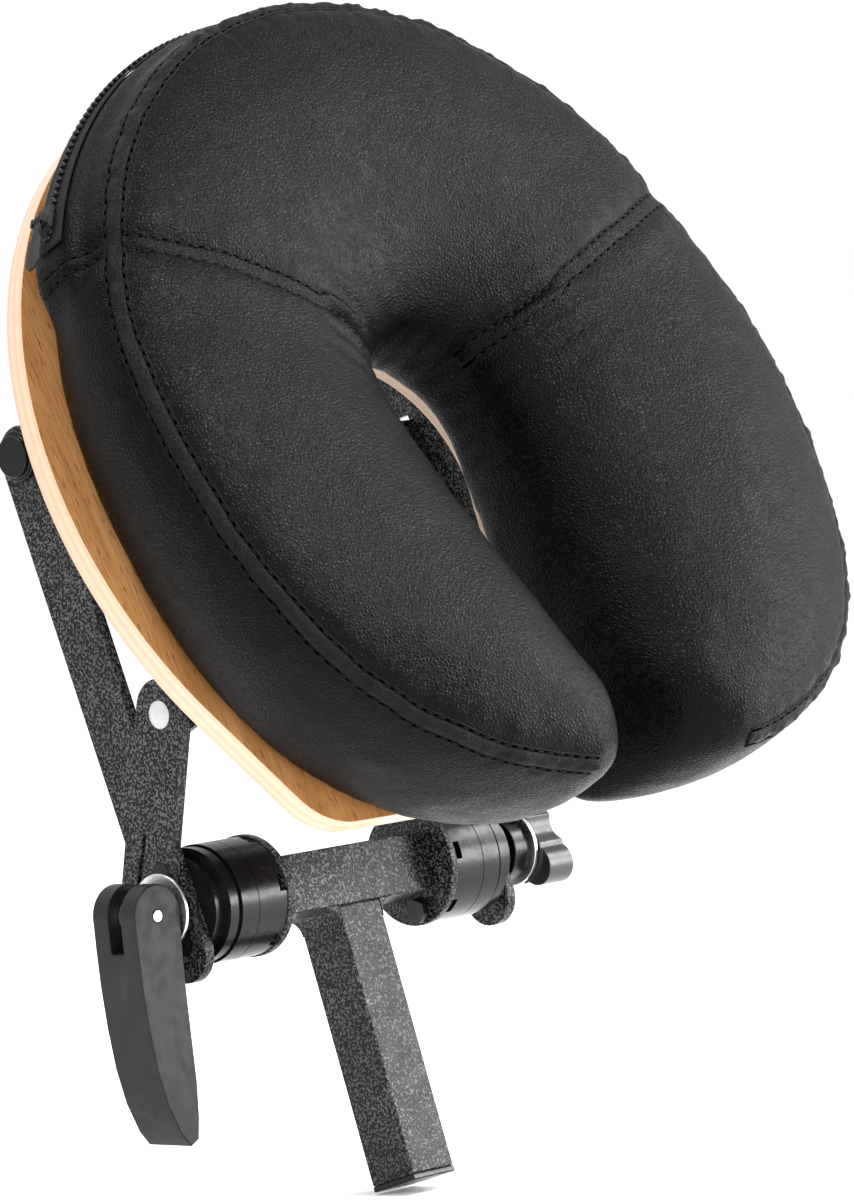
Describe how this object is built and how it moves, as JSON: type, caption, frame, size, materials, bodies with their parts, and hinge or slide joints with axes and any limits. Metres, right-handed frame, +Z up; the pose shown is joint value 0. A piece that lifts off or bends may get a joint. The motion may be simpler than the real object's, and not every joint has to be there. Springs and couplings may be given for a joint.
{
  "type": "massage chair face cradle",
  "caption": "Horseshoe face cushion in black synthetic leather on a plywood board, with tilting steel side plates, a clutch rod with cam lever and star knob, and a square post.",
  "frame": {"origin": "centre of the post's lower end face", "axes": "+X towards the star knob, +Y away from the person, +Z up; the post leans 15 degrees from +Z towards +Y"},
  "size_m": [0.2984, 0.2269, 0.4018],
  "materials": {
    "hammertone_steel": "black hammertone powder coat",
    "black_plastic": "gloss black moulding",
    "satin_knob": "satin black moulding",
    "lever_coat": "matte dark grey",
    "zinc": "bright zinc plate",
    "black_zinc": "black oxide",
    "rivet_grey": "light grey cap",
    "brass": "turned",
    "beech_ply": "clear lacquered beech plywood",
    "hook_loop": "hook and loop tape",
    "leather": "soft black synthetic leather",
    "leather_tape": "synthetic leather tape",
    "zip_cloth": "woven zip tape",
    "zip_black": "black moulded zip"
  },
  "bodies": {
    "post": {"post_tube": "hammertone_steel", "post_end_plug": "black_plastic", "crossbar": "hammertone_steel", "neck_gusset": "hammertone_steel", "end_flange_left": "hammertone_steel", "end_flange_right": "hammertone_steel", "flange_bolts": "black_zinc", "fixed_clutch_left": "black_plastic", "fixed_clutch_right": "black_plastic", "through_rod": "zinc", "cam_washer": "zinc", "knob_spacer": "black_plastic", "knob_washer": "zinc", "rod_end_nut": "zinc"},
    "head": {"side_plate_left": "hammertone_steel", "side_plate_right": "hammertone_steel", "moving_clutch_left": "black_plastic", "moving_clutch_right": "black_plastic", "bracket_left": "hammertone_steel", "bracket_right": "hammertone_steel", "plate_rivets": "rivet_grey", "pivot_bolts": "zinc", "pivot_caps": "black_plastic", "bracket_screws": "zinc", "board": "beech_ply", "hook_strips": "hook_loop"},
    "cushion": {"loop_strips": "hook_loop", "cushion_crown": "leather", "cushion_lobe_left": "leather", "cushion_lobe_right": "leather", "edge_strip": "leather_tape", "seam_strip_left": "leather_tape", "seam_strip_right": "leather_tape", "zip_tape": "zip_cloth", "zip_teeth": "zip_black"},
    "zip_runner": {"zip_slider": "zip_black"},
    "zip_tab": {"zip_pull": "zip_black"},
    "lever": {"cam_lever": "lever_coat", "lever_pin": "zinc"},
    "knob": {"star_knob": "satin_knob", "knob_insert": "brass"}
  },
  "joints": [
    {"name": "head_tilt", "type": "hinge", "parent": "post", "child": "head", "pos_m": [0, 0.02718, 0.10142], "axis": [1, 0, 0], "range_deg": [-45, 45]},
    {"name": "cushion_lift", "type": "slide", "parent": "head", "child": "cushion", "axis": [0, -0.9063, 0.4226], "range_m": [0, 0.06]},
    {"name": "zip_run", "type": "hinge", "parent": "cushion", "child": "zip_runner", "pos_m": [0, -0.00434, 0.2397], "axis": [0, 0.9063, -0.4226], "range_deg": [0, 112]},
    {"name": "zip_pull_flip", "type": "hinge", "parent": "zip_runner", "child": "zip_tab", "pos_m": [-0.13016, 0.00365, 0.33018], "axis": [0, 0.9063, -0.4226], "range_deg": [0, 120]},
    {"name": "cam_lever_swing", "type": "hinge", "parent": "post", "child": "lever", "pos_m": [-0.0915, 0.02718, 0.10142], "axis": [0, 1, 0], "range_deg": [0, 120]},
    {"name": "star_knob_turn", "type": "hinge", "parent": "post", "child": "knob", "pos_m": [0, 0.02718, 0.10142], "axis": [1, 0, 0], "continuous": true}
  ]
}
